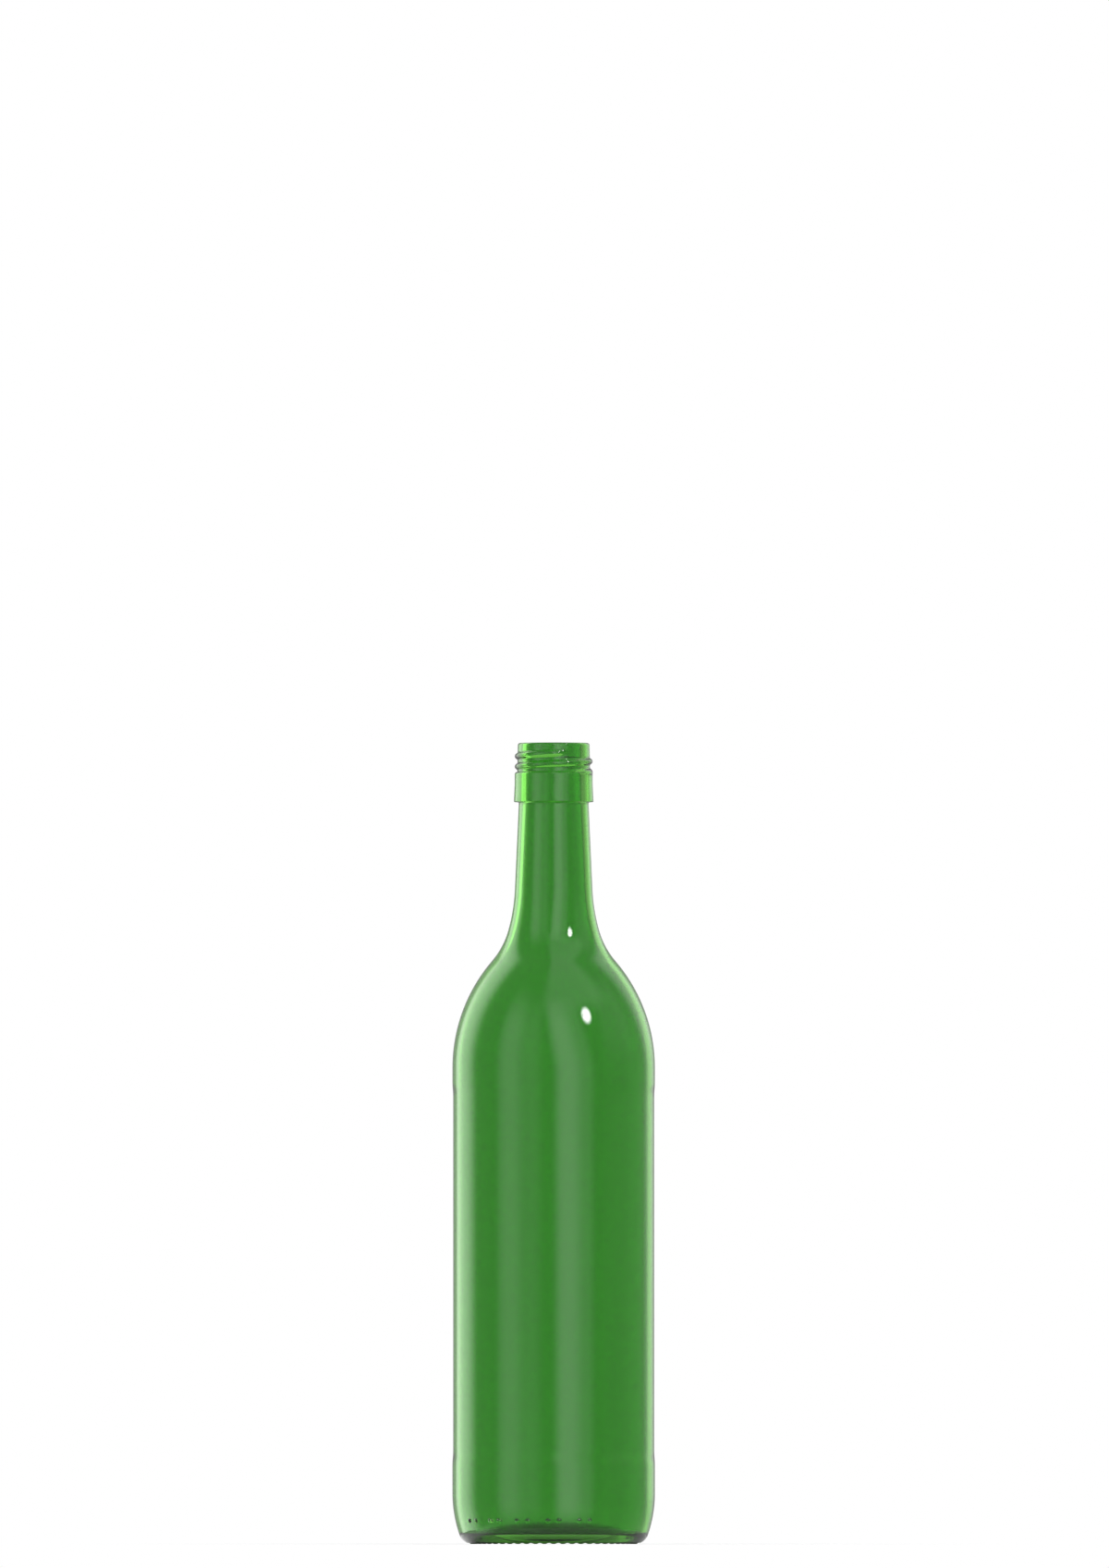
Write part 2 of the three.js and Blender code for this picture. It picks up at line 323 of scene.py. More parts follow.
ring_edge_centre = np.array([ring_inner, BEAD_HEIGHT + RING_ROUND])
bead_radius = ring_outer + BEAD_FLAT / 2
push_up = dome_arc(PUSH_UP_HEIGHT, ring_edge_centre, RING_ROUND)
floor_crown, floor_flank, floor_fillet = floor_arcs(
    BASE_THICKNESS + FLOOR_RISE, BASE_THICKNESS, inner_corner[0][0] - FLOOR_LAND
)
pip_slope = math.asin((PIP_RISE - HEEL_HEIGHT) / HEEL_RADIUS)
pip_half_block = PIP_BLOCK_ROWS * PIP_ROW / 2 / HEEL_RADIUS


def glass_section():
    """From the middle of the push-up out, up the outside, and down the inside to the middle of the floor."""
    s = Section((0, PUSH_UP_HEIGHT), 1)
    near_pole = math.acos(PUSH_UP_POLE / push_up[1])
    near_ring = math.acos((ring_inner - RING_REACH) / push_up[1])
    middle, plain, edge = split(push_up, near_pole, near_ring)
    s.arc(middle, DOME_GAP, POLE_COLUMNS)
    s.arc(plain, DOME_GAP, FLOOR_COLUMNS)
    s.arc(edge, DOME_EDGE_GAP)
    s.arc((ring_edge_centre, RING_ROUND, push_up[3] + math.pi, 3 * RIGHT_ANGLE), RING_EDGE_GAP)
    s.line((bead_radius - BEAD_WIDTH / 2, BEAD_HEIGHT), RING_GAP)
    s.line((ring_outer, 0), BEAD_GAP, RING_COLUMNS)
    bead_edge = math.asin(BEAD_REACH / HEEL_CORNER) - RIGHT_ANGLE
    knurl_edge = math.asin(KNURL_REACH / HEEL_CORNER) - RIGHT_ANGLE
    bead_corner, knurled_corner, corner = split(outer_corner, bead_edge, knurl_edge)
    s.arc(bead_corner, BEAD_GAP, RING_COLUMNS)
    s.arc(knurled_corner, KNURL_GAP, RING_COLUMNS)
    s.arc(corner, CORNER_GAP)
    low, block, high = split(outer_heel, pip_slope - pip_half_block, pip_slope + pip_half_block)
    s.arc(low, LOW_HEEL_GAP)
    s.block_start = len(s.points) - 1
    s.arc(block, PIP_ROW * PIP_ROW_SLACK)
    s.arc(high, HIGH_HEEL_GAP)

    s.line((BODY_RADIUS, HEEL_HEIGHT + LOWER_BAND), BAND_GAP, ease=EASE)
    s.soft_step(PANEL_RADIUS, BAND_STEP, BAND_STEP_ROWS)
    s.line((PANEL_RADIUS, SHOULDER_HEIGHT - UPPER_BAND - BAND_STEP), PANEL_GAP, ease=EASE)
    s.soft_step(BODY_RADIUS, BAND_STEP, BAND_STEP_ROWS)
    s.line((BODY_RADIUS, SHOULDER_HEIGHT), BAND_GAP, ease=EASE)
    for arc, gap in zip(outer_shoulder, SHOULDER_GAPS):
        s.arc(arc, gap)
    s.line((NECK_RADIUS, NECK_TOP), NECK_GAP, ease=EASE)

    fillet_centre = (NECK_RADIUS + COLLAR_FILLET, NECK_TOP)
    s.arc((fillet_centre, COLLAR_FILLET, math.pi, RIGHT_ANGLE), COLLAR_FILLET_GAP)
    foot_round = COLLAR_EDGE_ROUND
    foot_radius = COLLAR_RADIUS + COLLAR_FLARE
    s.line((foot_radius - foot_round, COLLAR_FOOT), COLLAR_FOOT_GAP)
    foot_centre = (foot_radius - foot_round, COLLAR_FOOT + foot_round)
    s.arc((foot_centre, foot_round, -RIGHT_ANGLE, 0), COLLAR_EDGE_GAP)
    s.line((COLLAR_RADIUS, COLLAR_TOP - COLLAR_STRAIGHT), COLLAR_SIDE_GAP)
    s.line((COLLAR_RADIUS, COLLAR_TOP - COLLAR_ROUND), COLLAR_SIDE_GAP)

    s.finish_start = len(s.points)
    top_end = RIGHT_ANGLE - COLLAR_TOP_SLOPE
    top_centre = (COLLAR_RADIUS - COLLAR_ROUND, COLLAR_TOP - COLLAR_ROUND)
    s.arc((top_centre, COLLAR_ROUND, 0, top_end), COLLAR_TOP_GAP)
    root = COLLAR_RADIUS - COLLAR_ROUND - RIM_RADIUS
    root_centre = s.points[-1] + polar(top_end) * root
    s.arc((root_centre, root, math.pi + top_end, math.pi), COLLAR_ROOT_GAP)
    s.line((RIM_RADIUS, BOTTLE_HEIGHT - RIM_ROUND), FINISH_GAP)
    s.finish_end = len(s.points)

    outer_rim = (RIM_RADIUS - RIM_ROUND, BOTTLE_HEIGHT - RIM_ROUND)
    s.arc((outer_rim, RIM_ROUND, 0, RIGHT_ANGLE), RIM_ROUND_GAP)
    s.line((BORE_RADIUS + RIM_ROUND, BOTTLE_HEIGHT), RIM_GAP)
    inner_rim = (BORE_RADIUS + RIM_ROUND, BOTTLE_HEIGHT - RIM_ROUND)
    s.arc((inner_rim, RIM_ROUND, RIGHT_ANGLE, math.pi), RIM_ROUND_GAP)
    s.line((NECK_RADIUS - NECK_WALL, NECK_TOP), BORE_GAP, ease=EASE)
    for arc, gap in zip(inner_shoulder[::-1], INNER_SHOULDER_GAPS):
        s.arc(arc, gap, back=True)
    s.line((INNER_RADIUS, HEEL_HEIGHT - INNER_HEEL_DROP), INNER_BODY_GAP, ease=EASE)
    s.arc(inner_heel, INNER_HEEL_GAP, back=True)
    s.arc(inner_corner, INNER_CORNER_GAP, back=True)
    s.line(floor_fillet[0] - (0, FLOOR_FILLET), FLOOR_EDGE_GAP)
    s.arc(floor_fillet, FLOOR_EDGE_GAP, back=True)
    middle, plain = split(floor_crown, math.acos(FLOOR_POLE / FLOOR_CROWN_RADIUS))
    s.arc(floor_flank, FLOOR_FLANK_GAP, back=True)
    s.arc(plain, FLOOR_CROWN_GAP, FLOOR_COLUMNS, back=True)
    s.arc(middle, FLOOR_POLE_GAP, POLE_COLUMNS, back=True)
    s.columns[-1] = 1
    return s


def smooth_min(a, b, width):
    share = np.clip(1 - np.abs(a - b) / width, 0, 1)
    return np.minimum(a, b) - share**2 * width / 4


def smoothstep(x, low, high):
    t = np.clip((x - low) / (high - low), 0, 1)
    return t * t * (3 - 2 * t)


def thread_radius(radius, height, slope, angle):
    """Radius of the finish at a height and angles, with the thread's bead melted onto the plain wall."""
    whole = THREAD_TURNS * TURN
    low = np.broadcast_to(radius, np.broadcast(radius, angle).shape)
    laps = []
    for lap in range(math.ceil(THREAD_TURNS) + 1):
        turned = (THREAD_START - angle) % TURN + lap * TURN
        from_end = np.minimum(turned, whole - turned)
        sunk = 1 - smoothstep(from_end, 0, THREAD_RUN_OUT)
        core_radius = RIM_RADIUS - sunk * (THREAD_HEIGHT + THREAD_ROOT_ROUND)
        core_height = BOTTLE_HEIGHT - THREAD_DROP - turned / TURN * THREAD_PITCH
        laps.append((core_radius, core_height, turned <= whole))

    def outside(r):
        nearest = np.full(low.shape, FAR_AWAY)
        for core_radius, core_height, real in laps:
            away = np.hypot(r - core_radius, height - core_height) - THREAD_HEIGHT
            nearest = np.where(real, np.minimum(nearest, away), nearest)
        return smooth_min((r - radius) * slope, nearest, THREAD_ROOT_ROUND)

    inner = low.copy()
    outer = low + THREAD_HEIGHT + THREAD_ROOT_ROUND
    for _ in range(THREAD_HALVINGS):
        middle = (inner + outer) / 2
        clear = outside(middle) > 0
        outer = np.where(clear, middle, outer)
        inner = np.where(clear, inner, middle)
    return inner


def knurl_height(radius, height, angle):
    """Height of the underside near the bearing bead, which grooves cut into short lands."""
    bar = ((KNURL_WIDTH / 2) ** 2 + KNURL_DEPTH**2) / (2 * KNURL_DEPTH)
    pitch = TURN / KNURL_COUNT
    off = radius * np.sin((angle % pitch) - pitch / 2)
    groove = KNURL_DEPTH - bar + np.sqrt(np.maximum(bar**2 - off**2, 0))
    side = smoothstep(abs(radius - bead_radius), BEAD_FLAT / 2, BEAD_WIDTH / 2) * BEAD_HEIGHT
    land = -smooth_min(np.full(off.shape, -side), -groove, KNURL_ROUND)
    return np.maximum(height, np.minimum(land, BEAD_HEIGHT))


class Shell:
    """Vertices and faces of the glass."""

    def __init__(self):
        self.vertices = []
        self.faces = []

    def ring(self, radius, height, angle):
        """A ring of vertices, with angles counted from the front towards +X."""
        first = len(self.vertices)
        radius = np.broadcast_to(radius, angle.shape)
        height = np.broadcast_to(height, angle.shape)
        places = np.c_[radius * np.sin(angle), -radius * np.cos(angle), height]
        self.vertices.extend(places)
        return first + np.arange(len(angle))

    def join(self, a, b, left_out=()):
        """Faces between two rings, of which one may have twice the columns of the other, or one vertex."""
        n, m = len(a), len(b)
        if n == m:
            for i in range(n):
                if i not in left_out:
                    k = (i + 1) % n
                    self.faces.append((a[i], a[k], b[k], b[i]))
        elif n == 1:
            for i in range(m):
                self.faces.append((a[0], b[(i + 1) % m], b[i]))
        elif m == 1:
            for i in range(n):
                self.faces.append((a[i], a[(i + 1) % n], b[0]))
        elif m == 2 * n:
            for i in range(n):
                k, j = (i + 1) % n, 2 * i
                self.faces.append((a[i], b[j + 1], b[j]))
                self.faces.append((a[i], a[k], b[j + 1]))
                self.faces.append((a[k], b[(j + 2) % m], b[j + 1]))
        else:
            for i in range(m):
                k, j = (i + 1) % m, 2 * i
                self.faces.append((a[j], a[j + 1], b[i]))
                self.faces.append((a[j + 1], b[k], b[i]))
                self.faces.append((a[j + 1], a[(j + 2) % n], b[k]))


def pip_bump(away):
    """Height of a pip over the heel at a distance from its middle."""
    ball = (PIP_RADIUS**2 + PIP_HEIGHT**2) / (2 * PIP_HEIGHT)
    cap = np.sqrt(np.maximum(ball**2 - away**2, 0)) - (ball - PIP_HEIGHT)
    return max(-smooth_min(np.array(0.0), -cap, PIP_ROUND), 0.0)


def pip_angles():
    for pair in range(PIP_PAIRS):
        middle = PIP_MIDDLE + (pair - (PIP_PAIRS - 1) / 2) * PIP_PAIR_PITCH
        yield middle - PIP_PITCH / 2
        yield middle + PIP_PITCH / 2


def add_pip(shell, angle, border):
    """Rings of faces from the border of a block cut out of the heel to the top of the pip in it."""
    centre, heel, _, _ = outer_heel
    ways = []
    for vertex in border:
        x, y, z = shell.vertices[vertex]
        turned = (math.atan2(x, -y) - angle + math.pi) % TURN - math.pi
        rise = math.asin((z - centre[1]) / heel) - pip_slope
        ways.append(math.atan2(rise * heel, turned * math.hypot(x, y)))
    old = border
    for away in PIP_RINGS:
        new = []
        for way in ways:
            tilt = pip_slope + away * math.sin(way) / heel
            out = centre + (heel + pip_bump(away)) * polar(tilt)
            turned = angle + away * math.cos(way) / out[0]
            new.extend(shell.ring(out[0], out[1], np.array([turned])))
        shell.join(old, new)
        old = new
    out = centre + (heel + PIP_HEIGHT) * polar(pip_slope)
    shell.join(old, shell.ring(out[0], out[1], np.array([angle])))


def build_glass():
    section = glass_section()
    points = np.array(section.points)
    shell = Shell()
    rings = []
    for i, (point, columns) in enumerate(zip(points, section.columns)):
        angle = np.arange(columns) * TURN / columns
        radius, height = np.full(columns, point[0]), np.full(columns, point[1])
        if columns == RING_COLUMNS:
            height = knurl_height(point[0], point[1], angle)
        if section.finish_start <= i < section.finish_end:
            run = points[i + 1] - points[i - 1]
            slope = run[1] / np.hypot(*run)
            radius = thread_radius(point[0], point[1], slope, angle)
        rings.append(shell.ring(radius, height, angle))

    blocks = []
    column = TURN / COLUMNS
    for angle in pip_angles():
        first = round(angle / column - PIP_BLOCK_COLUMNS / 2)
        blocks.append((angle, [(first + k) % COLUMNS for k in range(PIP_BLOCK_COLUMNS + 1)]))
    start = section.block_start
    block_rows = range(start, start + PIP_BLOCK_ROWS)
    cut_out = {c for _, block in blocks for c in block[:-1]}
    for i in range(len(rings) - 1):
        shell.join(rings[i], rings[i + 1], cut_out if i in block_rows else ())
    rows = rings[start : start + PIP_BLOCK_ROWS + 1]
    for angle, block in blocks:
        border = [rows[0][c] for c in block[:-1]] + [r[block[-1]] for r in rows[:-1]]
        border += [rows[-1][c] for c in block[:0:-1]] + [r[block[0]] for r in rows[:0:-1]]
        add_pip(shell, angle, border)

    mesh = bpy.data.meshes.new("bottle_glass")
    places = (np.array(shell.vertices) * MM).tolist()
    mesh.from_pydata(places, [], [tuple(map(int, face)) for face in shell.faces])
    mesh.shade_smooth()
    mesh.validate()
    glass = bpy.data.objects.new("bottle_glass", mesh)
    bpy.context.scene.collection.objects.link(glass)
    return glass


# Parts of node trees
WHITE = (1, 1, 1, 1)


def node_material(name):
    material = bpy.data.materials.new(name)
    material.use_nodes = True
    nodes = material.node_tree.nodes
    nodes.clear()
    output = nodes.new("ShaderNodeOutputMaterial")
    return material, nodes, material.node_tree.links, output


def maths(nodes, links, operation, a, b):
    made = nodes.new("ShaderNodeMath")
    made.operation = operation
    links.new(a, made.inputs[0])
    links.new(b, made.inputs[1])
    return made.outputs[0]


def soft_ramp(nodes, links, value, ends, to=(0, 1)):
    """A soft change from one value to another while the value given runs between two ends."""
    made = nodes.new("ShaderNodeMapRange")
    made.interpolation_type = "SMOOTHSTEP"
    made.inputs["From Min"].default_value, made.inputs["From Max"].default_value = ends
    made.inputs["To Min"].default_value, made.inputs["To Max"].default_value = to
    links.new(value, made.inputs["Value"])
    return made.outputs["Result"]


def mixed(nodes, links, share, first, second):
    """Two shaders, mixed by the share of the second."""
    made = nodes.new("ShaderNodeMixShader")
    links.new(share, made.inputs["Fac"])
    links.new(first.outputs[0], made.inputs[1])
    links.new(second.outputs[0], made.inputs[2])
    return made.outputs[0]


def vertex_number(nodes, name):
    """A number that a mesh has for each of its vertices."""
    made = nodes.new("ShaderNodeAttribute")
    made.attribute_name = name
    return made.outputs["Fac"]


GLASS_IOR = 1.5
# Two greens that drift through the wall as cords
WALL_GREEN = (0.128, 0.46, 0.057)
CORD_GREEN = (0.122, 0.45, 0.053)
# Darker green at a glancing angle, partly for the long way through the wall and partly painted shade along
# the outline, and the glances over which it sets in
OUTLINE_SHADE_GREEN = (0.06, 0.22, 0.027)
OUTLINE_SHADE_GLANCE = (0.65, 0.8)
EVEN_GLANCE = 0.5
# Green of the thick base, and the heights in metres over which it turns into the wall's
BASE_GREEN = (0.024, 0.122, 0.0065)
THICK_BASE = (0.0022, 0.0046)
# Heights over which the foot is worn
WORN_FOOT = (0.0009, 0.0001)
FOOT_ROUGHNESS = 0.16
# Contact bands, rubbed by other bottles, as low and high ends with the height over which they fade
RUBBED_BANDS = ((0.017, 0.031), (0.167, 0.18))
RUB_FADE = 0.004
RUB_ROUGHNESS = 0.03
RIPPLE_DEPTH = 0.000008
# Noises as stretch, scale and detail, and the ranges of them that tell
CORD_NOISE = ((1, 1, 0.12), 110, 2)
CORD_RANGE = (0.35, 0.65)
SPECK_NOISE = ((1, 1, 0.3), 900, 3)
SPECK_RANGE = (0.5, 0.75)
RIPPLE_NOISE = ((1, 1, 0.4), 45, 1)


def green_glass():
    material, nodes, links, output = node_material("green_glass")
    ramp = partial(soft_ramp, nodes, links)
    combine = partial(maths, nodes, links)
    shader = nodes.new("ShaderNodeBsdfPrincipled")
    shader.inputs["IOR"].default_value = GLASS_IOR
    shader.inputs["Transmission Weight"].default_value = 1.0
    place = nodes.new("ShaderNodeTexCoord")
    level = nodes.new("ShaderNodeSeparateXYZ")
    links.new(place.outputs["Object"], level.inputs[0])
    height = level.outputs["Z"]

    def noise(stretch, scale, detail):
        spread = nodes.new("ShaderNodeMapping")
        spread.inputs["Scale"].default_value = stretch
        links.new(place.outputs["Object"], spread.inputs["Vector"])
        made = nodes.new("ShaderNodeTexNoise")
        made.inputs["Scale"].default_value = scale
        made.inputs["Detail"].default_value = detail
        links.new(spread.outputs[0], made.inputs["Vector"])
        return made.outputs["Fac"]

    def blend(share, a, b):
        made = nodes.new("ShaderNodeMix")
        made.data_type = "RGBA"
        sockets = {socket.identifier: socket for socket in made.inputs}
        links.new(share, sockets["Factor_Float"])
        for socket, colour in ((sockets["A_Color"], a), (sockets["B_Color"], b)):
            if isinstance(colour, tuple):
                socket.default_value = (*colour, 1)
            else:
                links.new(colour, socket)
        return next(socket for socket in made.outputs if socket.identifier == "Result_Color")

    # Cords: streaks of slightly different green that run down the glass
    cords = ramp(noise(*CORD_NOISE), CORD_RANGE)
    # Painted shade: the wall turns darker green where it is seen at a glancing angle, along the outline,
    # partly for the long way through the glass
    glance = nodes.new("ShaderNodeLayerWeight")
    glance.inputs["Blend"].default_value = EVEN_GLANCE
    edge = ramp(glance.outputs["Facing"], OUTLINE_SHADE_GLANCE)
    wall = blend(edge, blend(cords, WALL_GREEN, CORD_GREEN), OUTLINE_SHADE_GREEN)
    links.new(blend(ramp(height, THICK_BASE), BASE_GREEN, wall), shader.inputs["Base Color"])

    # Fine rubbing on the contact bands, and a worn foot
    bands = []
    for low, high in RUBBED_BANDS:
        rise = ramp(height, (low, low + RUB_FADE))
        fall = ramp(height, (high - RUB_FADE, high), (1, 0))
        bands.append(combine("MULTIPLY", rise, fall))
    specks = ramp(noise(*SPECK_NOISE), SPECK_RANGE, (0, RUB_ROUGHNESS))
    rub = combine("MULTIPLY", combine("MAXIMUM", *bands), specks)
    foot = ramp(height, WORN_FOOT, (0, FOOT_ROUGHNESS))
    links.new(combine("MAXIMUM", rub, foot), shader.inputs["Roughness"])

    # The faint ripple of blown glass
    ripple = nodes.new("ShaderNodeBump")
    ripple.inputs["Strength"].default_value = 1.0
    ripple.inputs["Distance"].default_value = RIPPLE_DEPTH
    links.new(noise(*RIPPLE_NOISE), ripple.inputs["Height"])
    links.new(ripple.outputs["Normal"], shader.inputs["Normal"])

    links.new(shader.outputs["BSDF"], output.inputs["Surface"])
    return material


glass = build_glass()
glass.data.materials.append(green_glass())
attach(glass, "root")
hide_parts("glass_bottle")

# The stage: white world and floor, bright cards, dim surroundings and one round lamp
WORLD_LIGHT = 0.85


def seen_or_through(nodes, links):
    """1 for rays from the camera, and for mirrored and refracted ones, and 0 for light on a matt surface."""
    rays = nodes.new("ShaderNodeLightPath").outputs
    either = maths(nodes, links, "MAXIMUM", rays["Is Camera Ray"], rays["Is Glossy Ray"])
    return maths(nodes, links, "MAXIMUM", either, rays["Is Transmission Ray"])


def white_world():
    """White where it is seen, and a little less where it lights a matt surface."""
    world = bpy.data.worlds.new("white_studio")
    bpy.context.scene.world = world
    world.use_nodes = True
    nodes, links = world.node_tree.nodes, world.node_tree.links
    nodes.clear()
    backgrounds = []
    for strength in (WORLD_LIGHT, 1):
        made = nodes.new("ShaderNodeBackground")
        made.inputs["Color"].default_value = WHITE
        made.inputs["Strength"].default_value = strength
        backgrounds.append(made)
    surface = mixed(nodes, links, seen_or_through(nodes, links), *backgrounds)
    links.new(surface, nodes.new("ShaderNodeOutputWorld").inputs["Surface"])


white_world()


def stage_mesh(name, vertices, faces, material):
    mesh = bpy.data.meshes.new(name)
    mesh.from_pydata(vertices, [], faces)
    mesh.materials.append(material)
    made = bpy.data.objects.new(name, mesh)
    bpy.context.scene.collection.objects.link(made)
    return made


FLOOR_REACH = 40.0
FLOOR_NEAR = 0.045
FLOOR_SIDES = 96
FLOOR_MATT = (0.96, 0.96, 0.96, 1)
# Distances from the axis over which the floor turns plain white, for the camera and through the glass
FLOOR_PLAIN = (0.04, 0.22)
FLOOR_PLAIN_THROUGH = (0.034, 0.042)


def floor_material():
    """Matt near the bottle, where its shadow falls, and plain white farther off."""
    material, nodes, links, output = node_material("white_floor")
    matt = nodes.new("ShaderNodeBsdfDiffuse")
    matt.inputs["Color"].default_value = FLOOR_MATT
    white = nodes.new("ShaderNodeEmission")
    white.inputs["Color"].default_value = WHITE
    white.inputs["Strength"].default_value = 1
    place = nodes.new("ShaderNodeTexCoord")
    away = nodes.new("ShaderNodeVectorMath")
    away.operation = "LENGTH"
    links.new(place.outputs["Object"], away.inputs[0])
    rays = nodes.new("ShaderNodeLightPath").outputs
    shares = []
    for ray, ends in (("Is Camera Ray", FLOOR_PLAIN), ("Is Transmission Ray", FLOOR_PLAIN_THROUGH)):
        plain = soft_ramp(nodes, links, away.outputs["Value"], ends)
        shares.append(maths(nodes, links, "MULTIPLY", rays[ray], plain))
    share = maths(nodes, links, "MAXIMUM", *shares)
    links.new(mixed(nodes, links, share, matt, white), output.inputs["Surface"])
    return material


def circle(radius):
    turns = np.arange(FLOOR_SIDES) * TURN / FLOOR_SIDES
    return [(radius * math.cos(a), radius * math.sin(a), 0) for a in turns]


# The glass shows and mirrors the near part of the floor, and the plain white world in place of the rest
white_floor = floor_material()
stage_mesh("floor_near", circle(FLOOR_NEAR), [tuple(range(FLOOR_SIDES))], white_floor)
following = [(i, (i + 1) % FLOOR_SIDES) for i in range(FLOOR_SIDES)]
ring_faces = [(i, FLOOR_SIDES + i, FLOOR_SIDES + k, k) for i, k in following]
floor = stage_mesh("floor", circle(FLOOR_NEAR) + circle(FLOOR_REACH), ring_faces, white_floor)
floor.visible_glossy = False
floor.visible_transmission = False

CARD_DISTANCE = 6.0
CARD_CENTRE = BOTTLE_HEIGHT / 2 * MM
CARD_STEP = 1.5
ZENITH = 90


def card_material():
    """Light that follows the mesh's own glow values and adds to what is behind it."""
    material, nodes, links, output = node_material("card_glow")
    lit = nodes.new("ShaderNodeEmission")
    links.new(vertex_number(nodes, "glow"), lit.inputs["Strength"])
    clear = nodes.new("ShaderNodeBsdfTransparent")
    both = nodes.new("ShaderNodeAddShader")
    links.new(lit.outputs[0], both.inputs[0])
    links.new(clear.outputs[0], both.inputs[1])
    links.new(both.outputs[0], output.inputs["Surface"])
    return material


def soft_edge(x, edge):
    """From 0 to 1 over an edge, which is given as its middle and half its width."""
    return smoothstep(x, edge[0] - edge[1], edge[0] + edge[1])


def soft_window(x, start, end):
    """1 between two soft edges."""
    return soft_edge(x, start) * (1 - soft_edge(x, end))


def set_vertex_numbers(made, name, values):
    numbers = made.data.attributes.new(name, "FLOAT", "POINT")
    numbers.data.foreach_set("value", np.ravel(values).astype(np.float32))


def show_only(made, through):
    """Only mirror images show it, or only what is seen through the glass does."""
    made.visible_camera = False
    made.visible_diffuse = False
    made.visible_shadow = False
    made.visible_glossy = not through
    made.visible_transmission = through


def glow_mesh(name, places, faces, values, through=False):
    made = stage_mesh(name, places, faces, card_glow)
    set_vertex_numbers(made, "glow", values)
    show_only(made, through)


def grid_faces(rows, columns):
    corners = [i * columns + k for i in range(rows - 1) for k in range(columns - 1)]
    return [(c, c + 1, c + columns + 1, c + columns) for c in corners]


def card(name, glow, left, right, low, high, lean=0.0, through=False):
    """A soft-edged card of light round the bottle. Its edges are in degrees: azimuths from the camera's side
    towards +X, and elevations. A leaning card moves sideways with its elevation."""
    azimuth = np.arange(left[0] - left[1], right[0] + right[1] + CARD_STEP, CARD_STEP)
    elevation = np.arange(low[0] - low[1], min(high[0] + high[1], ZENITH) + CARD_STEP / 2, CARD_STEP)
    e, a = np.meshgrid(elevation, azimuth, indexing="ij")
    values = glow * soft_window(a, left, right) * soft_window(e, low, high)
    a, e = np.radians(a + lean * np.maximum(e, 0)), np.radians(e)
    x, y, z = np.sin(a) * np.cos(e), -np.cos(a) * np.cos(e), np.sin(e)
    places = np.stack([x, y, z], -1).reshape(-1, 3) * CARD_DISTANCE + (0, 0, CARD_CENTRE)
    glow_mesh(name, places.tolist(), grid_faces(*e.shape), values, through)


card_glow = card_material()
card("card_left_rear", 1.8, (-147, 6.5), (-107, 11), (-24, 10), (54, 12))
card("card_left_through", 1.6, (-143, 6), (-107, 11), (-16, 9), (54, 12), through=True)
card("card_left_front", 0.47, (-68, 6), (-17, 9), (-22, 13), (42, 17))
card("card_left_front_hot", 0.6, (-62, 8), (-40, 9), (-22, 13), (42, 17))
card("card_right_front", 0.65, (3, 6), (45, 7), (-24, 12), (42, 12), lean=-0.3)
card("card_right_front_hot", 0.95, (5, 9), (29, 10), (-24, 12), (42, 12), lean=-0.3)
card("card_over", 0.73, (-14, 12), (82, 14), (40, 8), (100, 5))
card("card_right_side", 0.3, (62, 8), (103, 8), (8, 18), (46, 9))
card("card_right_rear", 0.85, (131, 9), (161, 6), (-2, 16), (52, 10), lean=-0.3)
card("card_right_through", 0.5, (152, 6), (163, 8), (-16, 9), (52, 10), through=True)

# The lit floor beside the foot on the left, as its lower corner mirrors it
LIT_FLOOR_GLOW = 0.6
LIT_FLOOR_LIFT = 0.0002
LIT_FLOOR_X = ((-0.042, 0.003), (-0.031, 0.003))
LIT_FLOOR_Y = ((-0.03, 0.01), (0.03, 0.01))
LIT_FLOOR_POINTS = 25


def lit_floor():
    ends = ((a[0] - a[1], b[0] + b[1]) for a, b in (LIT_FLOOR_X, LIT_FLOOR_Y))
    x, y = (np.linspace(low, high, LIT_FLOOR_POINTS) for low, high in ends)
    y, x = np.meshgrid(y, x, indexing="ij")
    values = LIT_FLOOR_GLOW * soft_window(x, *LIT_FLOOR_X) * soft_window(y, *LIT_FLOOR_Y)
    places = np.stack([x, y, np.full(x.shape, LIT_FLOOR_LIFT)], -1).reshape(-1, 3)
    glow_mesh("floor_lit", places.tolist(), grid_faces(*x.shape), values)


lit_floor()

# Dim surroundings: mirror images show them on every side, darkest behind the bottle, and the glass shows
# them through itself all round but behind
DIM = 0.55
DARKEST = 0.42
DARKEST_EDGE = (158, 7)
BACKDROP_EDGE = (138, 9)
TENT_RADIUS = 12.0
TENT_SEGMENTS = 120
TENT_RINGS = 32
TENT_FOOT = (-9, 0)  # elevations over which the one seen through the glass starts


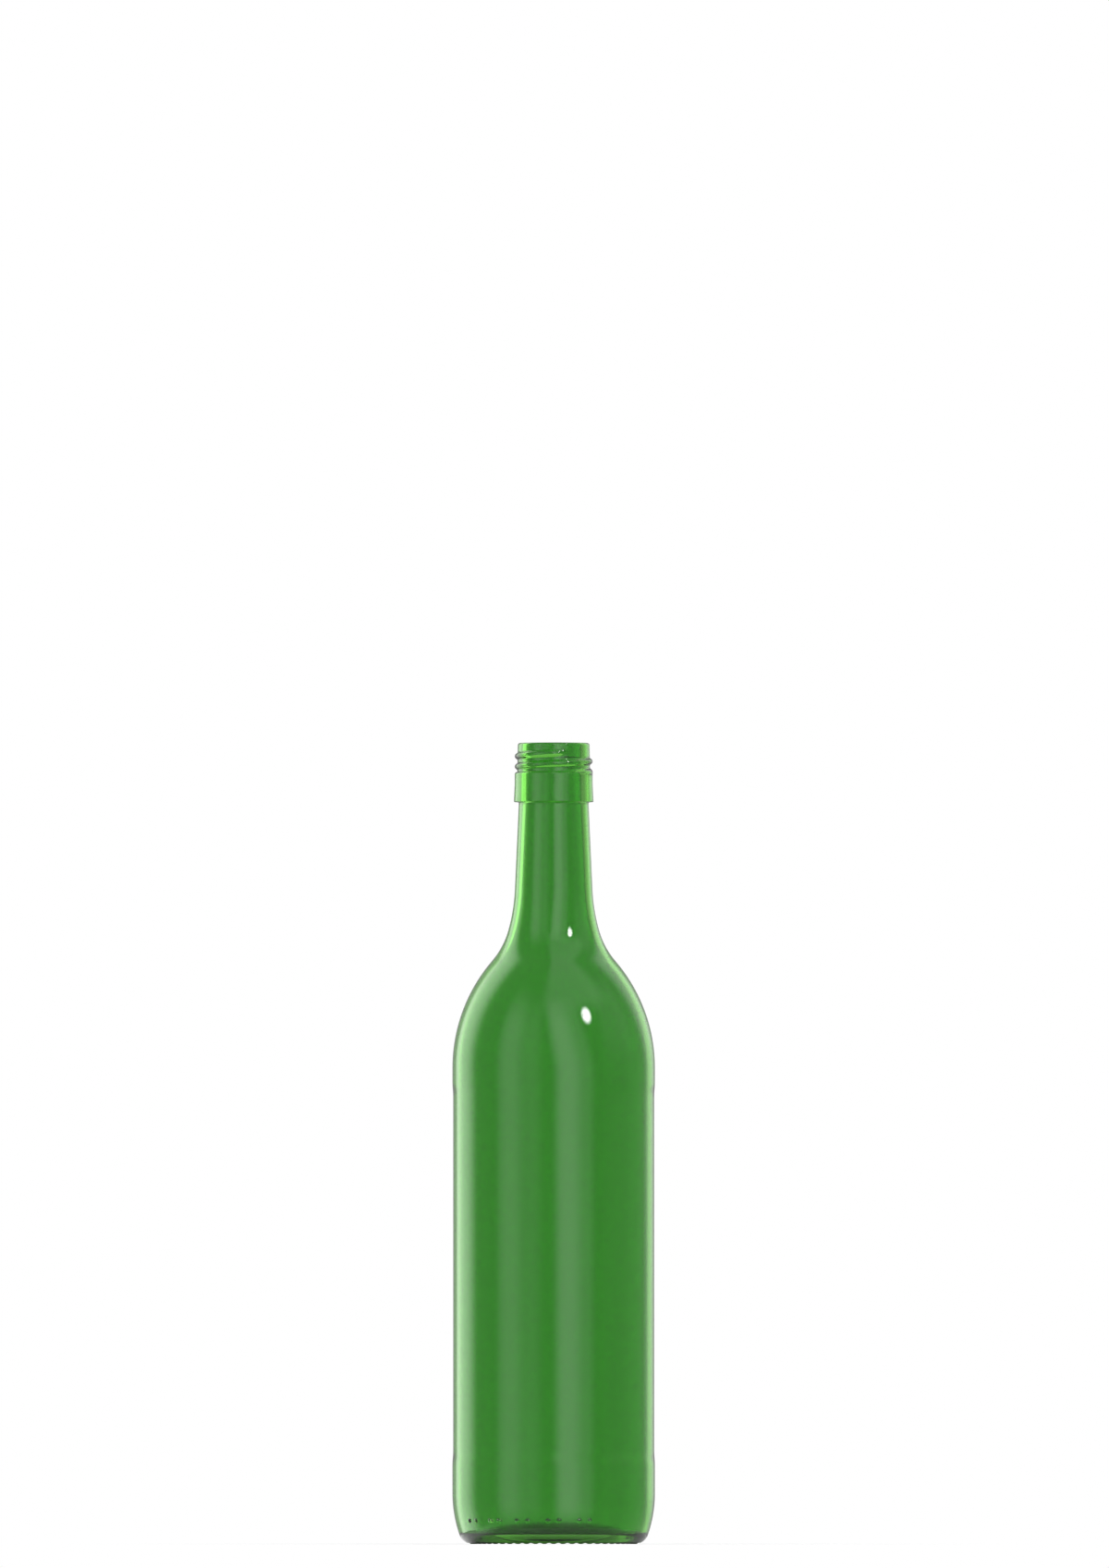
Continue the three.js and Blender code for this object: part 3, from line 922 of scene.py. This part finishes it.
def dim_tent(name, through):
    material, nodes, links, output = node_material(name)
    dim = nodes.new("ShaderNodeEmission")
    links.new(vertex_number(nodes, "glow"), dim.inputs["Strength"])
    clear = nodes.new("ShaderNodeBsdfTransparent")
    cover = vertex_number(nodes, "cover")
    links.new(mixed(nodes, links, cover, clear, dim), output.inputs["Surface"])
    bpy.ops.mesh.primitive_uv_sphere_add(
        segments=TENT_SEGMENTS, ring_count=TENT_RINGS, radius=TENT_RADIUS, location=(0, 0, 0)
    )
    tent = bpy.context.object
    tent.name = name
    tent.data.materials.append(material)
    places = np.array([v.co for v in tent.data.vertices])
    turned = np.degrees(np.abs(np.arctan2(places[:, 0], -places[:, 1])))
    covered = np.ones(len(turned))
    level = np.full(len(turned), DIM)
    if through:
        covered -= soft_edge(turned, BACKDROP_EDGE)
        covered *= smoothstep(np.degrees(np.arcsin(places[:, 2] / TENT_RADIUS)), *TENT_FOOT)
    else:
        level -= (DIM - DARKEST) * soft_edge(turned, DARKEST_EDGE)
    set_vertex_numbers(tent, "cover", covered)
    set_vertex_numbers(tent, "glow", level)
    show_only(tent, through)


dim_tent("dim_mirrored", False)
dim_tent("dim_through", True)

# The lamp, and the soft round face that mirror images show of it
SPOT_AZIMUTH = math.radians(45.5)
SPOT_ELEVATION = math.radians(34.5)
SPOT_RADIUS = math.radians(4.7)
SPOT_SOFT = math.radians(2.4)
SPOT_GLOW = 30.0
SPOT_RINGS = 12
SPOT_COLUMNS = 48
LAMP_AZIMUTH = math.radians(45)
LAMP_ELEVATION = math.radians(35)
LAMP_DISTANCE = 1.5
LAMP_RADIUS = 0.127
LAMP_POWER = 4.8
LAMP_AIM = Vector((0, 0, SHOULDER_HEIGHT * MM))


def direction(azimuth, elevation):
    """From the bottle out, with the azimuth from the camera's side towards +X."""
    level = math.cos(elevation)
    return Vector((math.sin(azimuth) * level, -math.cos(azimuth) * level, math.sin(elevation)))


def spot_card():
    towards = direction(SPOT_AZIMUTH, SPOT_ELEVATION)
    turn = towards.to_track_quat("Z", "Y")
    reach = SPOT_RADIUS + SPOT_SOFT
    places, values = [towards * CARD_DISTANCE], [SPOT_GLOW]
    for i in range(1, SPOT_RINGS + 1):
        off = reach * i / SPOT_RINGS
        share = 1 - soft_edge(off, (SPOT_RADIUS, SPOT_SOFT))
        for k in range(SPOT_COLUMNS):
            a = k * TURN / SPOT_COLUMNS
            way = Vector((math.sin(off) * math.cos(a), math.sin(off) * math.sin(a), math.cos(off)))
            places.append(turn @ way * CARD_DISTANCE)
            values.append(SPOT_GLOW * share)
    faces = []
    for k in range(SPOT_COLUMNS):
        n = (k + 1) % SPOT_COLUMNS
        faces.append((0, 1 + k, 1 + n))
        for i in range(SPOT_RINGS - 1):
            low, up = 1 + i * SPOT_COLUMNS, 1 + (i + 1) * SPOT_COLUMNS
            faces.append((low + k, up + k, up + n, low + n))
    glow_mesh("lamp_face", [tuple(place + LAMP_AIM) for place in places], faces, values)


def round_lamp():
    data = bpy.data.lights.new("round_lamp", "AREA")
    data.shape = "DISK"
    data.size = 2 * LAMP_RADIUS
    data.energy = LAMP_POWER
    lamp = bpy.data.objects.new("round_lamp", data)
    bpy.context.scene.collection.objects.link(lamp)
    away = direction(LAMP_AZIMUTH, LAMP_ELEVATION)
    lamp.location = LAMP_AIM + away * LAMP_DISTANCE
    lamp.rotation_mode = "QUATERNION"
    lamp.rotation_quaternion = (-away).to_track_quat("-Z", "Y")
    lamp.visible_camera = False
    lamp.visible_glossy = False
    lamp.visible_transmission = False


spot_card()
round_lamp()

# The camera looks along +Y, a little upwards, from far away
LENS = 1000.0
SENSOR = 36.0
CLIP_START = 0.1
CLIP_END = 100
FRAME_HEIGHT = 0.5775  # of the picture at the bottle's axis
FRAME_MIDDLE = 0.2799  # height of the picture's middle over the floor
FRAME_RIGHT = 0.0003  # of the picture's middle from the bottle's axis
CAMERA_HEIGHT = 0.008


def add_camera():
    data = bpy.data.cameras.new("camera")
    data.lens = LENS
    data.sensor_width = SENSOR
    data.clip_start = CLIP_START
    data.clip_end = CLIP_END
    camera = bpy.data.objects.new("camera", data)
    bpy.context.scene.collection.objects.link(camera)
    distance = FRAME_HEIGHT * LENS / SENSOR
    camera.location = (FRAME_RIGHT, -distance, CAMERA_HEIGHT)
    look = Vector((FRAME_RIGHT, 0, FRAME_MIDDLE)) - camera.location
    camera.rotation_mode = "QUATERNION"
    camera.rotation_quaternion = look.to_track_quat("-Z", "Y")
    bpy.context.scene.camera = camera


add_camera()
bpy.context.scene.view_settings.view_transform = "Standard"
